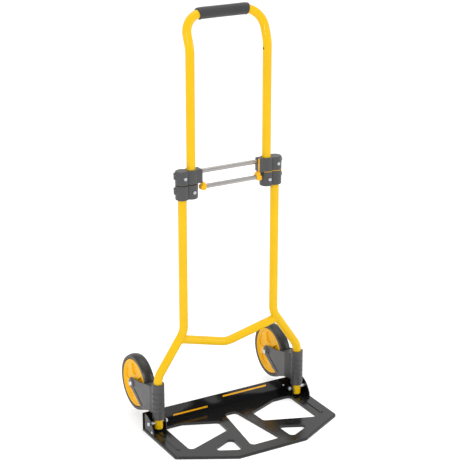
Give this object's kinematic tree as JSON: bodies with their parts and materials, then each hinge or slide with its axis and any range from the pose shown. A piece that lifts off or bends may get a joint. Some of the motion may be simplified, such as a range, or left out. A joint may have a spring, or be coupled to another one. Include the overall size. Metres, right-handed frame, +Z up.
{
  "type": "folding luggage cart",
  "caption": "Folding luggage cart: tube frame, sliding handle with a foam grip, hinged toe plate and swing-in wheels.",
  "frame": {"origin": "centre of the footprint on the floor, from the toe plate's front edge to the back of the tyres", "axes": "+Z up, +Y to the rear, where the wheels are, +X to the cart's right seen from the front of the toe plate"},
  "size_m": [0.4712, 0.413, 1.0657],
  "materials": {
    "yellow_paint": "gloss powder coat",
    "grey_plastic": "fine texture",
    "black_plastic": "satin",
    "black_coat": "gloss black coat",
    "yellow_plastic": "semi-gloss",
    "tyre": "solid rubber",
    "rod_steel": "drawn bright rod",
    "zinc": "zinc plated",
    "grip_foam": "closed-cell foam",
    "stripe": "printed film"
  },
  "bodies": {
    "frame": {"frame_tube_left": "yellow_paint", "frame_tube_right": "yellow_paint", "crossbar": "yellow_paint", "leg_plug_left": "black_plastic", "leg_plug_right": "black_plastic", "frame_block_left": "grey_plastic", "frame_block_right": "grey_plastic", "seam_plate_left": "yellow_plastic", "seam_plate_right": "yellow_plastic", "frame_block_screws": "zinc", "cross_rod": "rod_steel", "hinge_bolt_left": "zinc", "hinge_bolt_right": "zinc", "hinge_nut_left": "zinc", "hinge_nut_right": "zinc", "hinge_spacer_left": "zinc", "hinge_spacer_right": "zinc", "lock_pin_left": "zinc", "lock_pin_right": "zinc", "catch_spring_left": "zinc", "catch_spring_right": "zinc"},
    "handle": {"handle_tube": "yellow_paint", "grip": "grip_foam", "handle_block_left": "grey_plastic", "handle_block_right": "grey_plastic", "handle_block_screws": "zinc"},
    "release_bar": {"release_rod": "rod_steel", "catch_left": "yellow_plastic", "catch_right": "yellow_plastic"},
    "toe_plate": {"toe_plate": "black_coat", "plate_rivets": "zinc", "flange_stripe_left": "stripe", "flange_stripe_right": "stripe", "hinge_lug_left": "black_coat", "hinge_lug_right": "black_coat"},
    "fork_left": {"fork_left": "grey_plastic", "axle_bolt_left": "zinc", "axle_nut_left": "zinc"},
    "fork_right": {"fork_right": "grey_plastic", "axle_bolt_right": "zinc", "axle_nut_right": "zinc"},
    "wheel_left": {"rim_left": "yellow_plastic", "tyre_left": "tyre", "hub_bush_left": "zinc"},
    "wheel_right": {"rim_right": "yellow_plastic", "tyre_right": "tyre", "hub_bush_right": "zinc"}
  },
  "joints": [
    {"name": "handle_slide", "type": "slide", "parent": "frame", "child": "handle", "axis": [0, 0, -1], "range_m": [0, 0.278]},
    {"name": "release_lift", "type": "slide", "parent": "frame", "child": "release_bar", "axis": [0, 0, 1], "range_m": [0, 0.007], "stiffness_N_per_m": 400, "springref_m": -0.006, "deforming": ["catch_spring_left", "catch_spring_right"]},
    {"name": "toe_plate_fold", "type": "hinge", "parent": "frame", "child": "toe_plate", "pos_m": [0, 0.015, 0.03], "axis": [-1, 0, 0], "range_deg": [0, 90]},
    {"name": "fork_left_turn", "type": "hinge", "parent": "frame", "child": "fork_left", "pos_m": [-0.205, 0.015, 0.088], "axis": [0, 0, -1], "range_deg": [0, 90]},
    {"name": "fork_right_turn", "type": "hinge", "parent": "frame", "child": "fork_right", "pos_m": [0.205, 0.015, 0.088], "axis": [0, 0, 1], "range_deg": [0, 90]},
    {"name": "wheel_left_spin", "type": "hinge", "parent": "fork_left", "child": "wheel_left", "pos_m": [-0.202, 0.132, 0.0935], "axis": [1, 0, 0], "continuous": true},
    {"name": "wheel_right_spin", "type": "hinge", "parent": "fork_right", "child": "wheel_right", "pos_m": [0.202, 0.132, 0.0935], "axis": [1, 0, 0], "continuous": true}
  ],
  "couplings": [
    {"joint": "fork_left_turn", "follows": "toe_plate_fold", "ratio": 1},
    {"joint": "fork_right_turn", "follows": "toe_plate_fold", "ratio": 1}
  ]
}
